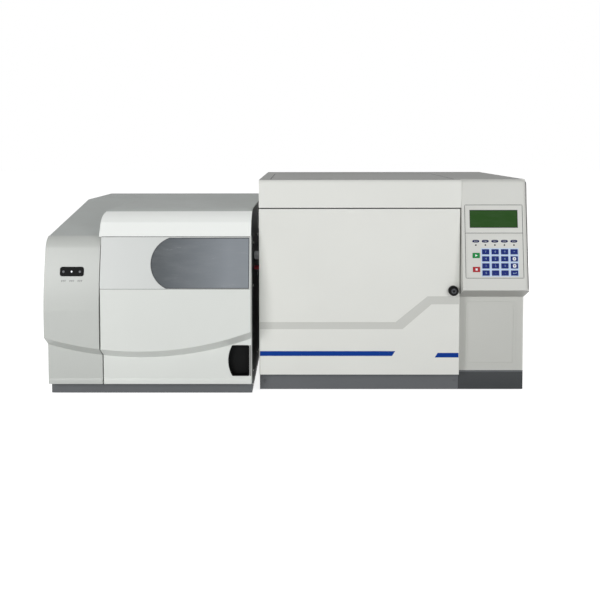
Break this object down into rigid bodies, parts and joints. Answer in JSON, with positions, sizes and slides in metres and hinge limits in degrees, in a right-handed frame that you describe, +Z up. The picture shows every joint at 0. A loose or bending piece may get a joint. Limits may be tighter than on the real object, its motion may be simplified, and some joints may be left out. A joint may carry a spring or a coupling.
{
  "type": "gas chromatograph",
  "caption": "Benchtop gas chromatograph with a column oven, keypad console and top injector, coupled by a heated line to a mass detector cabinet.",
  "frame": {"origin": "middle of the footprint of both cabinets, on the bench", "axes": "+X to the right seen from the front, +Y to the back, +Z up"},
  "size_m": [1.068, 0.691, 0.484],
  "materials": {
    "panel_white": "satin powder coat",
    "deck_grey": "satin powder coat",
    "plinth_grey": "satin powder coat",
    "chassis_black": "matte powder coat",
    "moulding_white": "fine satin moulding",
    "window_smoke": "glossy smoked sheet",
    "black_plastic": "satin black",
    "rubber_black": "matte",
    "key_navy": "satin",
    "key_green": "satin",
    "key_red": "satin",
    "lcd_green": "dark green display glass",
    "stainless": "brushed",
    "steel_plain": "machined",
    "aluminium": "machined",
    "mineral_wool": "pressed mineral fibre",
    "glass_rope": "braided glass fibre",
    "column_amber": "polyimide-coated capillary",
    "circuit_green": "soldermask"
  },
  "bodies": {
    "cabinet": {"gc_base_tray": "plinth_grey", "rubber_feet": "rubber_black", "gc_left_panel": "panel_white", "gc_right_panel": "panel_white", "gc_rear_panel": "panel_white", "gc_top_cover": "panel_white", "oven_front_frame": "stainless", "lower_front_panel": "panel_white", "oven_liner": "stainless", "oven_insulation": "mineral_wool", "fan_guard": "stainless", "fan_motor": "aluminium", "heater_coil": "steel_plain", "column_hanger": "stainless", "column_coil": "column_amber", "injector": "stainless", "hinge_pins": "steel_plain", "console_housing": "moulding_white", "keypad_plate": "moulding_white", "lcd_display": "lcd_green", "circuit_boards": "circuit_green", "gas_manifold": "aluminium", "ms_base_tray": "plinth_grey", "ms_casing": "deck_grey", "ms_chassis_cover": "chassis_black", "ms_front_fascia": "moulding_white", "indicator_bezel": "black_plastic", "vacuum_chamber": "aluminium", "turbo_pump": "steel_plain", "quadrupole": "stainless", "ms_electronics": "aluminium", "transfer_line": "stainless"},
    "oven_door": {"oven_door": "panel_white", "door_liner": "stainless", "door_gasket": "glass_rope"},
    "latch": {"latch_knob": "black_plastic"},
    "top_lid": {"top_lid": "deck_grey"},
    "oven_fan": {"oven_fan": "stainless"},
    "vent_flap": {"vent_flap": "stainless"},
    "ms_door": {"ms_door": "moulding_white", "door_window": "window_smoke", "pull_cup": "black_plastic"},
    "key_01": {"key_01": "key_navy"},
    "key_02": {"key_02": "key_navy"},
    "key_03": {"key_03": "key_navy"},
    "key_04": {"key_04": "key_navy"},
    "key_05": {"key_05": "key_navy"},
    "key_06": {"key_06": "key_navy"},
    "key_07": {"key_07": "key_navy"},
    "key_08": {"key_08": "key_navy"},
    "key_09": {"key_09": "key_navy"},
    "key_10": {"key_10": "key_navy"},
    "key_11": {"key_11": "key_navy"},
    "key_12": {"key_12": "key_navy"},
    "key_13": {"key_13": "key_navy"},
    "key_14": {"key_14": "key_navy"},
    "key_15": {"key_15": "key_navy"},
    "key_16": {"key_16": "key_navy"},
    "key_start": {"key_start": "key_green"},
    "key_stop": {"key_stop": "key_red"}
  },
  "joints": [
    {"name": "oven_door_hinge", "type": "hinge", "parent": "cabinet", "child": "oven_door", "pos_m": [-0.06, -0.278, 0.23175], "axis": [0, 0, -1], "range_deg": [0, 95]},
    {"name": "latch_turn", "type": "hinge", "parent": "oven_door", "child": "latch", "pos_m": [0.369, -0.2635, 0.2358], "axis": [0, -1, 0], "range_deg": [0, 90]},
    {"name": "top_lid_hinge", "type": "hinge", "parent": "cabinet", "child": "top_lid", "pos_m": [0.167, 0.084, 0.4815], "axis": [-1, 0, 0], "range_deg": [0, 78]},
    {"name": "oven_fan_spin", "type": "hinge", "parent": "cabinet", "child": "oven_fan", "pos_m": [0.149, -0.05, 0.23], "axis": [0, 1, 0], "continuous": true},
    {"name": "vent_flap_swing", "type": "hinge", "parent": "cabinet", "child": "vent_flap", "pos_m": [0.241, 0.2345, 0.361], "axis": [1, 0, 0], "range_deg": [0, 70]},
    {"name": "ms_door_hinge", "type": "hinge", "parent": "cabinet", "child": "ms_door", "pos_m": [-0.40675, -0.3415, 0.179], "axis": [0, 0, -1], "range_deg": [0, 90]},
    {"name": "key_01_press", "type": "slide", "parent": "cabinet", "child": "key_01", "axis": [0, 0.9885, -0.1513], "range_m": [0, 0.0005], "stiffness_N_per_m": 400},
    {"name": "key_02_press", "type": "slide", "parent": "cabinet", "child": "key_02", "axis": [0, 0.9885, -0.1513], "range_m": [0, 0.0005], "stiffness_N_per_m": 400},
    {"name": "key_03_press", "type": "slide", "parent": "cabinet", "child": "key_03", "axis": [0, 0.9885, -0.1513], "range_m": [0, 0.0005], "stiffness_N_per_m": 400},
    {"name": "key_04_press", "type": "slide", "parent": "cabinet", "child": "key_04", "axis": [0, 0.9885, -0.1513], "range_m": [0, 0.0005], "stiffness_N_per_m": 400},
    {"name": "key_05_press", "type": "slide", "parent": "cabinet", "child": "key_05", "axis": [0, 0.9885, -0.1513], "range_m": [0, 0.0005], "stiffness_N_per_m": 400},
    {"name": "key_06_press", "type": "slide", "parent": "cabinet", "child": "key_06", "axis": [0, 0.9885, -0.1513], "range_m": [0, 0.0005], "stiffness_N_per_m": 400},
    {"name": "key_07_press", "type": "slide", "parent": "cabinet", "child": "key_07", "axis": [0, 0.9885, -0.1513], "range_m": [0, 0.0005], "stiffness_N_per_m": 400},
    {"name": "key_08_press", "type": "slide", "parent": "cabinet", "child": "key_08", "axis": [0, 0.9885, -0.1513], "range_m": [0, 0.0005], "stiffness_N_per_m": 400},
    {"name": "key_09_press", "type": "slide", "parent": "cabinet", "child": "key_09", "axis": [0, 0.9885, -0.1513], "range_m": [0, 0.0005], "stiffness_N_per_m": 400},
    {"name": "key_10_press", "type": "slide", "parent": "cabinet", "child": "key_10", "axis": [0, 0.9885, -0.1513], "range_m": [0, 0.0005], "stiffness_N_per_m": 400},
    {"name": "key_11_press", "type": "slide", "parent": "cabinet", "child": "key_11", "axis": [0, 0.9885, -0.1513], "range_m": [0, 0.0005], "stiffness_N_per_m": 400},
    {"name": "key_12_press", "type": "slide", "parent": "cabinet", "child": "key_12", "axis": [0, 0.9885, -0.1513], "range_m": [0, 0.0005], "stiffness_N_per_m": 400},
    {"name": "key_13_press", "type": "slide", "parent": "cabinet", "child": "key_13", "axis": [0, 0.9885, -0.1513], "range_m": [0, 0.0005], "stiffness_N_per_m": 400},
    {"name": "key_14_press", "type": "slide", "parent": "cabinet", "child": "key_14", "axis": [0, 0.9885, -0.1513], "range_m": [0, 0.0005], "stiffness_N_per_m": 400},
    {"name": "key_15_press", "type": "slide", "parent": "cabinet", "child": "key_15", "axis": [0, 0.9885, -0.1513], "range_m": [0, 0.0005], "stiffness_N_per_m": 400},
    {"name": "key_16_press", "type": "slide", "parent": "cabinet", "child": "key_16", "axis": [0, 0.9885, -0.1513], "range_m": [0, 0.0005], "stiffness_N_per_m": 400},
    {"name": "key_start_press", "type": "slide", "parent": "cabinet", "child": "key_start", "axis": [0, 0.9885, -0.1513], "range_m": [0, 0.0005], "stiffness_N_per_m": 400},
    {"name": "key_stop_press", "type": "slide", "parent": "cabinet", "child": "key_stop", "axis": [0, 0.9885, -0.1513], "range_m": [0, 0.0005], "stiffness_N_per_m": 400}
  ]
}
